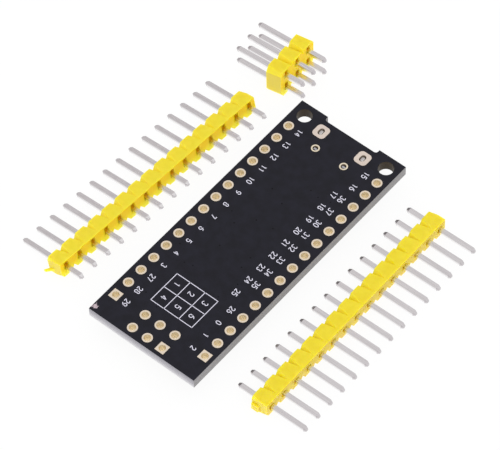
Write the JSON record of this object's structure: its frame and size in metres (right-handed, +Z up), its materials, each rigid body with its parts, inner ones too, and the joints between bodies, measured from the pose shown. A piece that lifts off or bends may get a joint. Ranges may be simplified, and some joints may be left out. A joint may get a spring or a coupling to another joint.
{
  "type": "microcontroller dev board",
  "caption": "Small controller board with micro USB socket, reset button and plated pin rows, lying solder side up beside its loose yellow break-away pin headers.",
  "frame": {"origin": "on the table, under the middle of the box round the board and its loose headers", "axes": "+Z up from the table, +Y along the board towards its USB end, +X across the pin rows to the right as seen from above"},
  "size_m": [0.0487, 0.0524, 0.005],
  "materials": {
    "solder_mask": "satin",
    "gold_plate": "satin",
    "tinned_pads": "satin",
    "solder": "satin",
    "shell_steel": "satin",
    "spring_steel": "polished",
    "contact_gold": "polished",
    "lead_tin": "satin",
    "chip_mould": "matte",
    "black_nylon": "matte",
    "resistor_black": "gloss",
    "capacitor_tan": "satin",
    "crystal_ceramic": "satin",
    "led_white": "matte",
    "led_clear": "gloss",
    "plunger_white": "satin",
    "header_yellow": "satin",
    "pin_plate": "polished"
  },
  "bodies": {
    "board": {"circuit_board": "solder_mask", "left_row_pads": "gold_plate", "right_row_pads": "gold_plate", "isp_pads": "gold_plate", "usb_anchor_pads": "gold_plate", "usb_peg_pads": "gold_plate", "component_pads": "tinned_pads", "usb_leg_solder": "solder", "usb_shell": "shell_steel", "switch_cover": "shell_steel", "crystal_lid": "shell_steel", "switch_dome": "spring_steel", "usb_contacts": "contact_gold", "led_caps": "contact_gold", "mcu_leads": "lead_tin", "regulator_leads": "lead_tin", "switch_terminals": "lead_tin", "resistor_caps": "lead_tin", "capacitor_caps": "lead_tin", "zener_leads": "lead_tin", "power_diode_leads": "lead_tin", "mcu_body": "chip_mould", "regulator_body": "chip_mould", "zener_bodies": "chip_mould", "power_diode_body": "chip_mould", "usb_insulator": "black_nylon", "switch_base": "black_nylon", "chip_resistors": "resistor_black", "chip_capacitors": "capacitor_tan", "crystal_base": "crystal_ceramic", "led_bases": "led_white", "led_lenses": "led_clear"},
    "plunger": {"reset_plunger": "plunger_white"},
    "left_strip": {"left_strip_housing": "header_yellow", "left_strip_pins": "pin_plate"},
    "right_strip": {"right_strip_housing": "header_yellow", "right_strip_pins": "pin_plate"},
    "isp_block": {"isp_block_housing": "header_yellow", "isp_block_pins": "pin_plate"}
  },
  "joints": [
    {"name": "reset_press", "type": "slide", "parent": "board", "child": "plunger", "axis": [0, 0, 1], "range_m": [0, 0.00025], "stiffness_N_per_m": 6400, "deforming": ["switch_dome"]},
    {"name": "left_lift", "type": "slide", "parent": "board", "child": "left_strip", "axis": [0, 0, 1], "range_m": [0, 0.012]},
    {"name": "right_lift", "type": "slide", "parent": "board", "child": "right_strip", "axis": [0, 0, 1], "range_m": [0, 0.012]},
    {"name": "block_lift", "type": "slide", "parent": "board", "child": "isp_block", "axis": [0, 0, 1], "range_m": [0, 0.012]}
  ]
}
